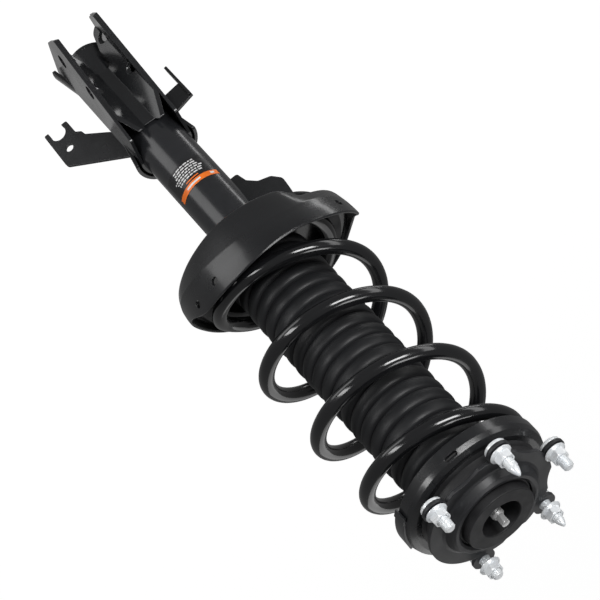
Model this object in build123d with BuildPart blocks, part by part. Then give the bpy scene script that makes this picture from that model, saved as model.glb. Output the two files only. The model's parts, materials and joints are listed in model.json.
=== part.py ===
"""Front suspension strut assembly: damper, coil spring, top mount, bearing, spring seats and welded brackets.

Frame: the origin is the centre of the mount plate's top face, +Z runs up the strut's axis, and the
plate's studs stand at corners of a regular hexagon whose first corner is on +X. Millimetres.
"""
from build123d import *
import math
import os

os.makedirs("parts", exist_ok=True)

# ---------------------------------------------------------------- driving dimensions
# Mount plate and its studs
stud_ring = 68.0                    # distance of each stud from the axis
stud_shank = 5.0                    # M10 thread's outer radius
stud_thread = 4.8                   # mean radius of the rolled thread, where the nuts run
stud_press = 5.3                    # serrated shoulder pressed into the plate
stud_top = 21.0                     # flat-ended studs above the plate
pilot_top = 27.0                    # studs with a pointed lead-in above the plate
pilot_cone = 7.0
stud_head = 10.0
head_thickness = 3.5
plate_thickness = 3.5
plate_edge = 61.0                   # plain round edge, where the sixth stud would be
lobe_radius = 11.0
scallop_floor = 57.5                # nearest point of each scallop to the axis
plate_bore = 36.2
nut_seated = 1.0                    # underside of a run-down nut above the plate
nut_raised = 7.0                    # underside of a nut left part-way up its stud
nut_flange = 10.0
nut_flats = 14.0
nut_height = 9.5

# Rubber mount, rod and its nut
mount_crown = 14.0
disc_radius = 32.6
well_radius = 17.8
well_floor = -15.0
sleeve_radius = 13.0
rod_radius = 10.0
rod_shoulder = -22.0
rod_thread = 6.0
rod_thread_top = 8.0
rod_tip_top = 19.4

# Bearing under the plate
ball_radius = 2.4
ball_ring = 48.5
ball_height = -9.8
ball_count = 24
bearing_edge = 55.5                 # clear of the stud heads

# Spring, seats and boot
wire_radius = 7.0
coil_radius = 70.0
end_coil_radius = 60.2              # the last turn tucks in under the upper seat
seat_roof = -16.0
seat_rim = -33.0
seat_edge = 69.6
seat_sheet = 2.5
upper_pad_floor = -23.3
pad_inner = 61.0
pad_outer = 77.0
boot_crest = 42.0
boot_valley = 38.3
boot_wall = 1.8
boot_pitch = 14.7
boot_top = -22.0
boot_shift = 3.5                    # the loose boot hangs this far towards +X
boot_folds = 21
# height of the wire's centre at each half turn, from the lower end up (the spring is left-handed)
half_turn_heights = (-332.0, -260.0, -228.5, -193.0, -148.5, -115.0, -78.5, -44.0, -30.6)
half_turn_radii = (coil_radius,) * 7 + (61.5, end_coil_radius)
dead_coil_rise = 4.0                # the lowest coil lies on a slope, this far up and down across the spring
spring_shift = 3.0                  # the free turns stand this far towards +X of the strut's axis
front_lift = 5.5                    # how far each turn stands above an even pitch, at the left of its front
lower_tail = 250.0                  # wire on the lower seat before the first listed height, in degrees
upper_tail = 95.0                   # level wire after the last listed height

# Damper
tube_outer = 25.5
tube_wall = 2.2
tube_top = -262.0
tube_foot = -661.0
base_thickness = 7.0
inner_tube_bore = 15.0
inner_tube_outer = 16.5
guide_top = -268.0
guide_floor = -290.0
piston_top = -323.0
piston_floor = -345.0

# Lower spring perch
perch_sheet = 3.0
perch_floor_x, perch_floor_y = 89.0, 80.0
perch_rim_x, perch_rim_y = 91.5, 88.0
perch_floor_height = -344.5
perch_tilt = 5.5                    # the floor drops towards +X
perch_rim_height = -268.0

# Knuckle bracket: two ears that reach forward (about -Y) from a sheet wrapped round the tube
bracket_turn = 12.0                 # the ears lean this far from -Y towards -X
sheet = 3.0
inner_sheet = 2.5
ear_tip_outer = 25.0                # ear's outer face from the bracket's middle plane, at the free edge
bolt_radius = 7.3
bolt_reach = 42.0                   # bolt axes in front of the tube's axis
lower_bolt, upper_bolt = -646.0, -591.0


def write(piece, node):
    """Label a finished piece and write it to a STEP file of its own."""
    piece.part.label = node
    export_step(piece.part, f"parts/{node}.step")


def turn(*corners, radius=0.0, mode=Mode.ADD):
    """Turn a closed outline of (radius, height) corners about the strut's axis, in the part being built."""
    with BuildSketch(Plane.XZ) as outline:
        with BuildLine():
            if radius:
                FilletPolyline(*corners, radius=radius, close=True)
            else:
                Polyline(*corners, close=True)
        make_face()
    revolve(outline.sketch, axis=Axis.Z, mode=mode)


def polar(radius, degrees, height=0.0):
    """The point at this radius and bearing."""
    angle = math.radians(degrees)
    return (radius * math.cos(angle), radius * math.sin(angle), height)


# ---------------------------------------------------------------- top mount
lobe_bearings = (60, 120, 180, 240, 300)
pilot_bearings = (240, 120)
plain_bearings = (180, 300, 60)
raised_bearings = (120, 60)

# scallops are arcs tangent to the two lobes that they part
half_chord = stud_ring / 2
lobe_line = stud_ring * math.cos(math.radians(30))
scallop_radius = (half_chord**2 + (scallop_floor - lobe_line) ** 2 - lobe_radius**2) / (
    2 * (lobe_radius - (scallop_floor - lobe_line))
)

with BuildPart() as mount_plate:
    with BuildSketch(Plane.XY.offset(-plate_thickness)):
        Circle(plate_edge)
        with Locations(*[polar(stud_ring, bearing) for bearing in lobe_bearings]):
            Circle(lobe_radius)
        with Locations(*[polar(scallop_floor + scallop_radius, b) for b in (90, 150, 210, 270)]):
            Circle(scallop_radius, mode=Mode.SUBTRACT)
        Circle(49.0, mode=Mode.SUBTRACT)
        with Locations(*[polar(stud_ring, bearing) for bearing in lobe_bearings]):
            Circle(stud_press, mode=Mode.SUBTRACT)
    extrude(amount=plate_thickness)
    turn((49.0, -3.5), (49.0, 0), (46.6, 1.2), (43.6, 6.4), (41.4, 8.4), (38.4, 8.4), (plate_bore, 6.6),
         (plate_bore, 0.6), (39.0, 0.6), (39.0, 5.0), (40.2, 5.0), (43.2, -1.0), (45.6, -3.5))
    chamfer(mount_plate.faces().filter_by(Plane.XY).sort_by(Axis.Z)[0].outer_wire().edges(), 0.6)
write(mount_plate, "mount_plate")


def stud_outline(top, nut_floor, cone):
    """(radius, height) corners of one pressed-in stud."""
    corners = [(0, -plate_thickness - head_thickness), (stud_head - 0.6, -plate_thickness - head_thickness),
               (stud_head, -plate_thickness - head_thickness + 0.6), (stud_head, -plate_thickness),
               (stud_press, -plate_thickness), (stud_press, 0), (stud_shank, 0), (stud_shank, nut_floor),
               (stud_thread, nut_floor)]
    if cone:
        corners += [(stud_thread, top - cone), (1.2, top - 0.6), (0.8, top), (0, top)]
    else:
        corners += [(stud_thread, top - 1.2), (stud_thread - 1.2, top), (0, top)]
    return corners


def add_studs(bearings, top, cone):
    """Add one stud at each bearing to the part being built."""
    for bearing in bearings:
        nut_floor = nut_raised if bearing in raised_bearings else nut_seated
        place = Plane(origin=polar(stud_ring, bearing), x_dir=(1, 0, 0), z_dir=(0, -1, 0))
        with BuildSketch(place) as outline:
            with BuildLine():
                Polyline(*stud_outline(top, nut_floor, cone), close=True)
            make_face()
        revolve(outline.sketch, axis=Axis(polar(stud_ring, bearing), (0, 0, 1)))


with BuildPart() as plain_studs:
    add_studs(plain_bearings, stud_top, 0.0)
write(plain_studs, "plain_studs")

with BuildPart() as pilot_studs:
    add_studs(pilot_bearings, pilot_top, pilot_cone)
write(pilot_studs, "pilot_studs")

with BuildPart() as flange_nuts:
    for bearing in lobe_bearings:
        nut_floor = nut_raised if bearing in raised_bearings else nut_seated
        centre = polar(stud_ring, bearing, nut_floor)
        with BuildSketch(Plane(origin=centre, x_dir=(1, 0, 0), z_dir=(0, -1, 0))) as flange:
            with BuildLine():
                Polyline((0, 0), (nut_flange, 0), (nut_flange, 1.2), (7.6, 2.9), (0, 2.9), close=True)
            make_face()
        revolve(flange.sketch, axis=Axis(centre, (0, 0, 1)))
        with BuildSketch(Plane(origin=centre)) as hexagon:
            RegularPolygon(nut_flats / 2, 6, major_radius=False, rotation=bearing)
        extrude(hexagon.sketch, amount=nut_height)
        with BuildSketch(Plane(origin=centre)) as thread:
            Circle(stud_thread + 0.06)
        extrude(thread.sketch, amount=nut_height, mode=Mode.SUBTRACT)
    crowns = flange_nuts.edges().filter_by(GeomType.LINE).filter_by(
        lambda edge: abs(edge.length - nut_flats / math.sqrt(3)) < 0.1 and edge.center().Z > nut_seated + 8)
    chamfer(crowns, 0.8)
write(flange_nuts, "flange_nuts")

with BuildPart() as mount_rubber:
    turn((well_radius + 1.2, mount_crown), (disc_radius, mount_crown), (disc_radius + 0.8, 4.6),
         (plate_bore - 0.1, 4.6), (plate_bore - 0.1, 0.7), (30.8, -2.6), (30.8, -23.8), (sleeve_radius + 0.1, -23.8),
         (sleeve_radius + 0.1, well_floor), (well_radius, well_floor), radius=1.1)
write(mount_rubber, "mount_rubber")

with BuildPart() as mount_inner_sleeve:
    turn((rod_thread + 0.3, rod_shoulder + 0.05), (sleeve_radius, rod_shoulder + 0.05),
         (sleeve_radius, well_floor + 0.4), (rod_thread + 0.3, well_floor + 0.4))
write(mount_inner_sleeve, "mount_inner_sleeve")

washer_floor = well_floor + 0.45
nut_floor_height = washer_floor + 2.55
with BuildPart() as rod_washer:
    turn((rod_thread + 0.3, washer_floor), (15.5, washer_floor), (15.5, washer_floor + 2.5),
         (rod_thread + 0.3, washer_floor + 2.5))
write(rod_washer, "rod_washer")

with BuildPart() as rod_nut:
    with BuildSketch(Plane.XY.offset(nut_floor_height)):
        RegularPolygon(9.5, 6, major_radius=False)
        Circle(rod_thread + 0.05, mode=Mode.SUBTRACT)
    extrude(amount=10.0)
    chamfer(rod_nut.faces().sort_by(Axis.Z)[-1].outer_wire().edges(), 0.9)
write(rod_nut, "rod_nut")

with BuildPart() as piston_rod:
    turn((0, piston_floor - 12.5), (5.95, piston_floor - 12.5), (5.95, piston_top + 0.05),
         (rod_radius, piston_top + 0.05), (rod_radius, rod_shoulder - 1.0), (rod_radius - 1.0, rod_shoulder),
         (rod_thread, rod_shoulder), (rod_thread, rod_thread_top - 1.5), (rod_thread - 1.8, rod_thread_top),
         (0, rod_thread_top))
    with BuildSketch(Plane.XY.offset(rod_thread_top - 0.5)):
        RegularPolygon(3.6, 6, major_radius=False)
    extrude(amount=rod_tip_top - rod_thread_top + 0.5)
    chamfer(piston_rod.faces().sort_by(Axis.Z)[-1].outer_wire().edges(), 0.6)
write(piston_rod, "piston_rod")

with BuildPart() as mount_lower_cup:
    turn((31.0, -3.55), (42.0, -3.55), (42.0, -5.5), (33.0, -5.5), (33.0, -26.0), (12.5, -26.0), (12.5, -24.0),
         (31.0, -24.0))
write(mount_lower_cup, "mount_lower_cup")

with BuildPart() as bump_stop_cup:
    turn((rod_radius + 1.0, -26.1), (27.0, -26.1), (27.0, -40.0), (25.4, -40.0), (25.4, -27.7),
         (rod_radius + 1.0, -27.7))
write(bump_stop_cup, "bump_stop_cup")

with BuildPart() as bump_stop:
    turn((rod_radius + 0.5, -27.8), (25.2, -27.8), (25.2, -44.0), (20.5, -50.0), (24.0, -57.0), (24.0, -63.0),
         (19.0, -69.0), (22.0, -76.0), (22.0, -81.0), (17.0, -87.0), (18.0, -93.0), (14.0, -100.0),
         (rod_radius + 1.5, -100.0), (rod_radius + 0.5, -96.0), radius=0.5)
write(bump_stop, "bump_stop")

# ---------------------------------------------------------------- bearing
with BuildPart() as bearing_upper_case:
    turn((43.0, -3.55), (bearing_edge, -3.55), (bearing_edge, -11.5), (bearing_edge - 1.4, -11.5),
         (bearing_edge - 1.4, -7.2), (43.0, -7.2))
write(bearing_upper_case, "bearing_upper_case")

with BuildPart() as bearing_lower_case:
    turn((43.0, -12.4), (bearing_edge - 1.9, -12.4), (bearing_edge - 1.9, -14.0), (57.5, seat_roof + 0.02),
         (43.0, seat_roof + 0.02))
write(bearing_lower_case, "bearing_lower_case")

with BuildPart() as bearing_cage:
    with BuildSketch(Plane.XY.offset(ball_height - 1.0)):
        Circle(ball_ring + 3.6)
        Circle(ball_ring - 3.6, mode=Mode.SUBTRACT)
        with PolarLocations(ball_ring, ball_count):
            Circle(ball_radius + 0.1, mode=Mode.SUBTRACT)
    extrude(amount=2.0)
write(bearing_cage, "bearing_cage")

with BuildPart() as bearing_balls:
    with Locations((0, 0, ball_height)):
        with PolarLocations(ball_ring, ball_count):
            Sphere(ball_radius)
write(bearing_balls, "bearing_balls")

# ---------------------------------------------------------------- upper spring seat, pad, spring and boot
with BuildPart() as upper_spring_seat:
    inner_edge = seat_edge - seat_sheet
    turn((36.0, seat_roof), (62.5, seat_roof), (68.0, seat_roof - 2.4), (seat_edge, seat_roof - 7.0),
         (seat_edge, seat_rim), (inner_edge, seat_rim), (inner_edge, seat_roof - 7.4), (66.2, seat_roof - 4.6),
         (62.0, seat_roof - seat_sheet), (36.0, seat_roof - seat_sheet), radius=0.9)
    # window in the skirt that faces forward
    with BuildSketch(Plane(origin=(-4, -62, seat_roof - 5.5), x_dir=(1, 0, 0), z_dir=(0, -1, 0))) as window:
        SlotOverall(12.0, 4.0)
    extrude(window.sketch, amount=12, mode=Mode.SUBTRACT)
    # thicker lip round the +X side of the skirt, which ends forward in a short free hook
    for inner, outer, first, last in ((seat_edge - 1.0, seat_edge + 1.7, -33, 0),
                                      (seat_edge + 0.9, seat_edge + 2.9, -37, -31)):
        with BuildSketch(Plane.XY.offset(-34.0)) as lip:
            with BuildLine():
                CenterArc((0, 0), inner, first, last - first)
                Line(polar(inner, last)[:2], polar(outer, last)[:2])
                CenterArc((0, 0), outer, first, last - first)
                Line(polar(outer, first)[:2], polar(inner, first)[:2])
            make_face()
        extrude(lip.sketch, amount=12.5)
write(upper_spring_seat, "upper_spring_seat")

with BuildPart() as upper_spring_pad:
    turn((55.0, upper_pad_floor), (66.5, upper_pad_floor), (66.0, -22.0), (61.4, seat_roof - seat_sheet - 0.1),
         (55.0, seat_roof - seat_sheet - 0.1))
write(upper_spring_pad, "upper_spring_pad")


def through(knots, position):
    """Value of a smooth curve with no overshoot (a monotone cubic) through knots at 0, 1, 2 and so on."""
    last = len(knots) - 1
    if position >= last:
        return knots[-1]
    steps = [b - a for a, b in zip(knots, knots[1:])]

    def slope(knot):
        if knot == 0 or knot == last or steps[knot - 1] * steps[knot] <= 0:
            return 0.0
        return 2 * steps[knot - 1] * steps[knot] / (steps[knot - 1] + steps[knot])

    knot = int(position)
    u = position - knot
    return ((2 * u**3 - 3 * u**2 + 1) * knots[knot] + (u**3 - 2 * u**2 + u) * slope(knot)
            + (3 * u**2 - 2 * u**3) * knots[knot + 1] + (u**3 - u**2) * slope(knot + 1))


def wire_centre(wound):
    """Centre of the wire this many degrees after its first listed height, which is at +X; it winds clockwise."""
    turned = math.radians(wound)
    if wound <= 0:
        height = half_turn_heights[0] + dead_coil_rise * (1 - math.cos(turned))
        x, y, z = polar(coil_radius, -wound, height)
        return (x + spring_shift, y, z)
    level = wound > 180 * (len(half_turn_heights) - 1)
    lift = 0.0 if level else front_lift * max(0.0, math.sin(turned)) * (1 - math.cos(turned)) / 2
    x, y, z = polar(through(half_turn_radii, wound / 180), -wound, through(half_turn_heights, wound / 180) + lift)
    # the shift fades out where the wire nears the upper seat
    return (x + spring_shift * min(1.0, max(0.0, (-44.0 - z) / 70.0)), y, z)


wire_end = 180.0 * (len(half_turn_heights) - 1) + upper_tail
wire_steps = round((wire_end + lower_tail) / 20)
wire_points = [wire_centre(-lower_tail + (wire_end + lower_tail) * step / wire_steps) for step in range(wire_steps + 1)]

with BuildPart() as coil_spring:
    with BuildLine() as wire_path:
        Spline(*wire_points)
    with BuildSketch(Plane(origin=wire_path.line @ 0, z_dir=wire_path.line % 0)):
        Circle(wire_radius)
    sweep()
write(coil_spring, "coil_spring")

with BuildPart() as dust_boot:
    with BuildSketch(Plane(origin=(boot_shift, 0, 0), x_dir=(1, 0, 0), z_dir=(0, -1, 0))) as wall:
        with BuildLine():
            for fold in range(boot_folds):
                high = boot_top - fold * boot_pitch
                low = high - boot_pitch
                middle = (high + low) / 2
                ThreePointArc((boot_valley, high), (boot_crest, middle), (boot_valley, low))
                ThreePointArc((boot_valley - boot_wall, high), (boot_crest - boot_wall, middle),
                              (boot_valley - boot_wall, low))
            Line((boot_valley - boot_wall, boot_top), (boot_valley, boot_top))
            Line((boot_valley - boot_wall, low), (boot_valley, low))
        make_face()
    revolve(wall.sketch, axis=Axis((boot_shift, 0, 0), (0, 0, 1)))
write(dust_boot, "dust_boot")

# ---------------------------------------------------------------- damper
tube_bore = tube_outer - tube_wall
with BuildPart() as outer_tube:
    turn((tube_bore, tube_foot), (tube_outer, tube_foot), (tube_outer, tube_top - 1.0), (tube_outer - 1.0, tube_top),
         (tube_bore, tube_top))
write(outer_tube, "outer_tube")

with BuildPart() as base_cup:
    turn((0, tube_foot - base_thickness + 1.5), (18.0, tube_foot - base_thickness + 1.5),
         (20.0, tube_foot - base_thickness), (22.5, tube_foot - base_thickness), (tube_outer, tube_foot - 3.5),
         (tube_outer, tube_foot - 0.02), (tube_bore - 0.1, tube_foot - 0.02), (tube_bore - 0.1, tube_foot + 4.0),
         (tube_bore - 3.0, tube_foot + 4.0), (tube_bore - 4.5, tube_foot - 1.0), (0, tube_foot - 1.0))
write(base_cup, "base_cup")

with BuildPart() as inner_tube:
    turn((inner_tube_bore, tube_foot + 9.0), (inner_tube_outer, tube_foot + 9.0), (inner_tube_outer, guide_floor),
         (inner_tube_bore, guide_floor))
write(inner_tube, "inner_tube")

with BuildPart() as base_valve:
    turn((0, tube_foot + 4.1), (18.0, tube_foot + 4.1), (18.0, tube_foot + 8.95), (inner_tube_bore - 0.05, tube_foot + 8.95),
         (inner_tube_bore - 0.05, tube_foot + 16.0), (0, tube_foot + 16.0))
    with BuildSketch(Plane.XY.offset(tube_foot + 4.0)):
        with PolarLocations(10.0, 6):
            Circle(1.5)
    extrude(amount=14.0, mode=Mode.SUBTRACT)
write(base_valve, "base_valve")

with BuildPart() as rod_guide:
    turn((11.6, -289.0), (11.6, guide_top), (tube_bore - 0.1, guide_top), (tube_bore - 0.1, guide_floor + 4.0),
         (inner_tube_outer + 2.0, guide_floor + 0.02), (inner_tube_bore - 0.05, guide_floor + 0.02),
         (inner_tube_bore - 0.05, -295.0), (11.6, -295.0))
write(rod_guide, "rod_guide")

with BuildPart() as rod_guide_bush:
    turn((rod_radius + 0.04, -292.0), (11.55, -292.0), (11.55, -271.0), (rod_radius + 0.04, -271.0))
write(rod_guide_bush, "rod_guide_bush")

with BuildPart() as rod_seal:
    turn((rod_radius + 0.05, guide_top + 0.05), (tube_bore - 0.1, guide_top + 0.05), (tube_bore - 0.1, tube_top - 0.5),
         (14.0, tube_top - 0.5), (12.5, tube_top + 1.5), (rod_radius + 0.05, tube_top + 1.5))
write(rod_seal, "rod_seal")

with BuildPart() as top_cap:
    turn((14.5, tube_top + 0.05), (tube_outer + 0.1, tube_top + 0.05), (tube_outer + 0.1, tube_top - 18.0),
         (tube_outer + 2.2, tube_top - 18.0), (tube_outer + 2.2, tube_top + 1.6), (tube_outer + 1.2, tube_top + 2.6),
         (14.5, tube_top + 2.6))
write(top_cap, "top_cap")

with BuildPart() as rebound_stop:
    turn((rod_radius + 0.05, -305.0), (14.0, -305.0), (14.6, -301.0), (14.0, -295.4), (rod_radius + 0.05, -295.4))
write(rebound_stop, "rebound_stop")

with BuildPart() as rebound_ring:
    turn((rod_radius + 0.02, -308.5), (14.0, -308.5), (14.0, -305.05), (rod_radius + 0.02, -305.05))
write(rebound_ring, "rebound_ring")

with BuildPart() as piston:
    turn((6.0, piston_floor), (14.5, piston_floor), (14.5, piston_floor + 4.0), (13.4, piston_floor + 4.0),
         (13.4, piston_top - 4.0), (14.5, piston_top - 4.0), (14.5, piston_top), (6.0, piston_top))
    with BuildSketch(Plane.XY.offset(piston_floor)):
        with PolarLocations(9.7, 8):
            Circle(1.3)
    extrude(amount=piston_top - piston_floor, mode=Mode.SUBTRACT)
write(piston, "piston")

with BuildPart() as piston_band:
    turn((13.45, piston_floor + 4.1), (inner_tube_bore - 0.04, piston_floor + 4.1),
         (inner_tube_bore - 0.04, piston_top - 4.1), (13.45, piston_top - 4.1))
write(piston_band, "piston_band")

with BuildPart() as piston_shims:
    for layer, shim_radius in enumerate((12.5, 11.0, 9.5)):
        top = piston_floor - 0.02 - layer * 0.5
        turn((6.0, top - 0.45), (shim_radius, top - 0.45), (shim_radius, top), (6.0, top))
write(piston_shims, "piston_shims")

with BuildPart() as piston_nut:
    with BuildSketch(Plane.XY.offset(piston_floor - 10.6)):
        RegularPolygon(8.5, 6, major_radius=False)
        Circle(6.0, mode=Mode.SUBTRACT)
    extrude(amount=9.0)
write(piston_nut, "piston_nut")

# ---------------------------------------------------------------- lower spring perch


def dish(inset):
    """Add the perch's outer shape, or with an inset its hollow, to the part being built."""
    drop = math.tan(math.radians(perch_tilt))
    floor_plane = Plane(origin=(0, 2.0, perch_floor_height + inset), x_dir=(1, 0, -drop), z_dir=(drop, 0, 1))
    rim_plane = Plane.XY.offset(perch_rim_height + inset)
    with BuildSketch(floor_plane) as floor_outline:
        Ellipse(perch_floor_x - inset, perch_floor_y - inset)
    with BuildSketch(rim_plane) as rim_outline:
        with Locations((0, 0.5)):
            Ellipse(perch_rim_x - inset, perch_rim_y - inset)
    return loft(Sketch() + [floor_outline.sketch.faces()[0], rim_outline.sketch.faces()[0]])


with BuildPart() as perch_hollow:
    dish(perch_sheet)
    fillet(perch_hollow.edges().group_by(Axis.Z)[0], 9.0)
    # the collar welded to the tube stands up inside
    with BuildSketch(Plane.XY.offset(perch_floor_height - 9.0)) as collar:
        Circle(tube_outer + 3.2)
    extrude(collar.sketch, amount=20.0, mode=Mode.SUBTRACT)

with BuildPart() as lower_spring_perch:
    dish(0.0)
    fillet(lower_spring_perch.edges().group_by(Axis.Z)[0], 12.0)
    # behind the axis only a low lip is left; this edge drops towards +X with the floor
    drop = math.tan(math.radians(perch_tilt))
    with BuildSketch(Plane(origin=(-130, 0, 130 * drop), x_dir=(0, 1, 0), z_dir=(1, 0, -drop))) as back_edge:
        with BuildLine():
            edge = Spline((-17, -230), (-12, -284), (-2, -309), (12, -326), (40, -333), (110, -338))
            Polyline(edge @ 1, (110, -230), (-17, -230))
        make_face()
    extrude(back_edge.sketch, amount=260, mode=Mode.SUBTRACT)
    # the skirt's free edge: lowest at the +X end, highest across the front
    with BuildSketch(Plane.XZ.offset(-120)) as front_edge:
        with BuildLine():
            edge = Spline((-98, -296), (-60, -284), (0, -281), (40, -287), (62, -300), (80, -322), (98, -329))
            Polyline(edge @ 1, (98, -230), (-98, -230), (-98, -296))
        make_face()
    extrude(front_edge.sketch, amount=240, mode=Mode.SUBTRACT)
    add(perch_hollow.part, mode=Mode.SUBTRACT)
    with BuildSketch(Plane.XY.offset(perch_floor_height - 12.0)) as tube_hole:
        Circle(tube_outer + 0.05)
    extrude(tube_hole.sketch, amount=40.0, mode=Mode.SUBTRACT)
    # pressing holes through the skirt
    for bearing, height in ((-59, -302), (-38, -311), (-155, -302), (-171, -306)):
        place = Plane(origin=polar(60, bearing, height), x_dir=(0, 0, 1), z_dir=polar(1, bearing))
        with BuildSketch(place) as hole:
            Circle(3.5)
        extrude(hole.sketch, amount=40, mode=Mode.SUBTRACT)
write(lower_spring_perch, "lower_spring_perch")

with BuildPart() as lower_spring_pad:
    slope = dead_coil_rise / coil_radius
    under_wire = half_turn_heights[0] + dead_coil_rise - wire_radius - 0.1
    with BuildSketch(Plane(origin=(0, 0, under_wire), x_dir=(1, 0, -slope), z_dir=(slope, 0, 1))) as ring:
        Circle(pad_outer)
        Circle(pad_inner, mode=Mode.SUBTRACT)
    extrude(ring.sketch, amount=-25.0)
    add(perch_hollow.part, mode=Mode.INTERSECT)
write(lower_spring_pad, "lower_spring_pad")

# ---------------------------------------------------------------- knuckle bracket
lean = math.radians(bracket_turn)
ear_normal = (math.cos(lean), -math.sin(lean), 0)
forward = (-math.sin(lean), -math.cos(lean), 0)
# sections: x runs across the ears, y runs backwards, so the ears reach to -y
section_plane = Plane(origin=(0, 0, 0), x_dir=ear_normal, z_dir=(0, 0, 1))
# side view: x is the reach in front of the tube's axis, y is height
side_plane = Plane(origin=(0, 0, 0), x_dir=forward, z_dir=(-ear_normal[0], -ear_normal[1], 0))
wrap_outer = tube_outer + 0.1 + sheet
wrap_inner = tube_outer + 0.1


def sheet_section(height, length, shift, tip_half, wrap, thickness):
    """Extrude a sheet wrapped round the tube's back with two straight ears running forward."""
    inner_tip = tip_half - thickness
    inner_wrap = wrap - thickness
    with BuildSketch(section_plane.offset(height)) as section:
        with BuildLine():
            Line((tip_half, -80), (wrap, shift))
            ThreePointArc((wrap, shift), (0, wrap), (-wrap, shift))
            Line((-wrap, shift), (-tip_half, -80))
            Line((-tip_half, -80), (-inner_tip, -80))
            Line((-inner_tip, -80), (-inner_wrap, shift))
            ThreePointArc((-inner_wrap, shift), (0, inner_wrap), (inner_wrap, shift))
            Line((inner_wrap, shift), (inner_tip, -80))
            Line((inner_tip, -80), (tip_half, -80))
        make_face()
    extrude(section.sketch, amount=length)


with BuildPart() as ear_silhouette:
    with BuildSketch(side_plane.offset(-60)):
        with BuildLine():
            FilletPolyline((71, -646), (50, -671), (14, -678), (-20, -684), (-45, -684), (-45, -514), (2, -514),
                           (30, -521), radius=[5, 14, 20, 8, 8, 8, 6, 4], close=True)
        make_face()
    extrude(amount=120)


def cut_forward_of(reach, low, high, half_width=60.0):
    """Remove everything of the part being built that is further forward than this, between two heights."""
    with BuildSketch(section_plane.offset(low)) as section:
        with Locations((0, -reach - 50)):
            Rectangle(2 * half_width, 100)
    extrude(section.sketch, amount=high - low, mode=Mode.SUBTRACT)


with BuildPart() as flared_skirts:
    turn((wrap_outer - 0.6, -640), (35.2, -685), (32.2, -686.5), (wrap_inner, -646))
    turn((wrap_outer - 0.6, -552), (34.8, -513), (31.8, -511.5), (wrap_inner, -546))
    cut_forward_of(4.0, -700, -490)

with BuildPart() as knuckle_bracket_outer:
    sheet_section(-696.0, 200.0, 0.0, ear_tip_outer, wrap_outer, sheet)
    add(flared_skirts.part)
    add(ear_silhouette.part, mode=Mode.INTERSECT)
    with BuildSketch(side_plane.offset(-60)) as bolts:
        with Locations((bolt_reach, lower_bolt), (bolt_reach, upper_bolt)):
            Circle(bolt_radius)
    extrude(bolts.sketch, amount=120, mode=Mode.SUBTRACT)
write(knuckle_bracket_outer, "knuckle_bracket_outer")

# channel between the ears: a narrow web against the tube's front and two walls that lie on the ears
web_half = 6.0
web_front = wrap_inner + inner_sheet


def ear_inner_face(reach):
    """Distance of the outer sheet's inner face from the middle plane at this reach."""
    return wrap_inner + (ear_tip_outer - sheet - wrap_inner) * reach / 80.0


with BuildPart() as knuckle_bracket_inner:
    outer_gap = 0.05
    bend = 40.0
    knee, tip = ear_inner_face(bend) - outer_gap, ear_inner_face(80) - outer_gap
    with BuildSketch(section_plane.offset(-690)) as channel:
        with BuildLine():
            Polyline((web_half, -web_front), (knee - inner_sheet, -bend), (tip - inner_sheet, -80), (tip, -80),
                     (knee, -bend + 1.6), (web_half + 1.4, -wrap_inner), (-web_half - 1.4, -wrap_inner),
                     (-knee, -bend + 1.6), (-tip, -80), (-tip + inner_sheet, -80), (-knee + inner_sheet, -bend),
                     (-web_half, -web_front), close=True)
        make_face()
    extrude(channel.sketch, amount=180)
    add(outer_tube.part, mode=Mode.SUBTRACT)
    with BuildSketch(side_plane.offset(-60)) as outline:
        with BuildLine():
            FilletPolyline((70.6, -645.4), (52, -667), (36, -662), (31, -640), (31, -618), (20, -618), (20, -536),
                           (27, -532), (31, -522), radius=[4, 6, 8, 6, 5, 0.5, 0.5, 2, 1], close=True)
        make_face()
    extrude(outline.sketch, amount=120, mode=Mode.INTERSECT)
    with BuildSketch(side_plane.offset(-60)) as bolts:
        with Locations((bolt_reach, lower_bolt), (bolt_reach, upper_bolt)):
            Circle(bolt_radius)
    extrude(bolts.sketch, amount=120, mode=Mode.SUBTRACT)
write(knuckle_bracket_inner, "knuckle_bracket_inner")

# ---------------------------------------------------------------- brackets welded beside the knuckle bracket
hose_sheet = 3.0
with BuildPart() as hose_bracket:
    with BuildSketch(Plane.XZ.offset(-hose_sheet / 2)):
        with BuildLine():
            FilletPolyline((28.2, -536), (28.2, -577), (48.5, -598), (49.5, -604), (54.4, -609), (54.4, -628),
                           (60, -628.5), (81.0, -632), (82.5, -583), radius=[1, 6, 3, 2, 3, 2, 2, 2, 6],
                           close=True)
        make_face()
        with Locations((68.4, -622.5)):
            Circle(8.2, mode=Mode.SUBTRACT)
        with Locations((68.4, -632.0)):
            Rectangle(15.6, 18.0, mode=Mode.SUBTRACT)
        with Locations((69.0, -598.7)):
            Circle(4.3, mode=Mode.SUBTRACT)
    extrude(amount=hose_sheet)
write(hose_bracket, "hose_bracket")

hook_sheet = 3.0
with BuildPart() as sensor_bracket:
    with BuildSketch(Plane.XZ.offset(-hook_sheet)):
        with BuildLine():
            FilletPolyline((-30, -541), (-54, -544), (-54, -566), (-30, -566), radius=0.8, close=True)
        make_face()
    extrude(amount=hook_sheet)
    with BuildSketch(Plane.YZ.offset(-54)):
        with BuildLine():
            FilletPolyline((-3, -544), (20, -560), (20, -602), (0, -594), radius=[1, 6, 6, 4], close=True)
        make_face()
        with Locations((10, -580)):
            Circle(4.5, mode=Mode.SUBTRACT)
    extrude(amount=hook_sheet)
write(sensor_bracket, "sensor_bracket")

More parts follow.
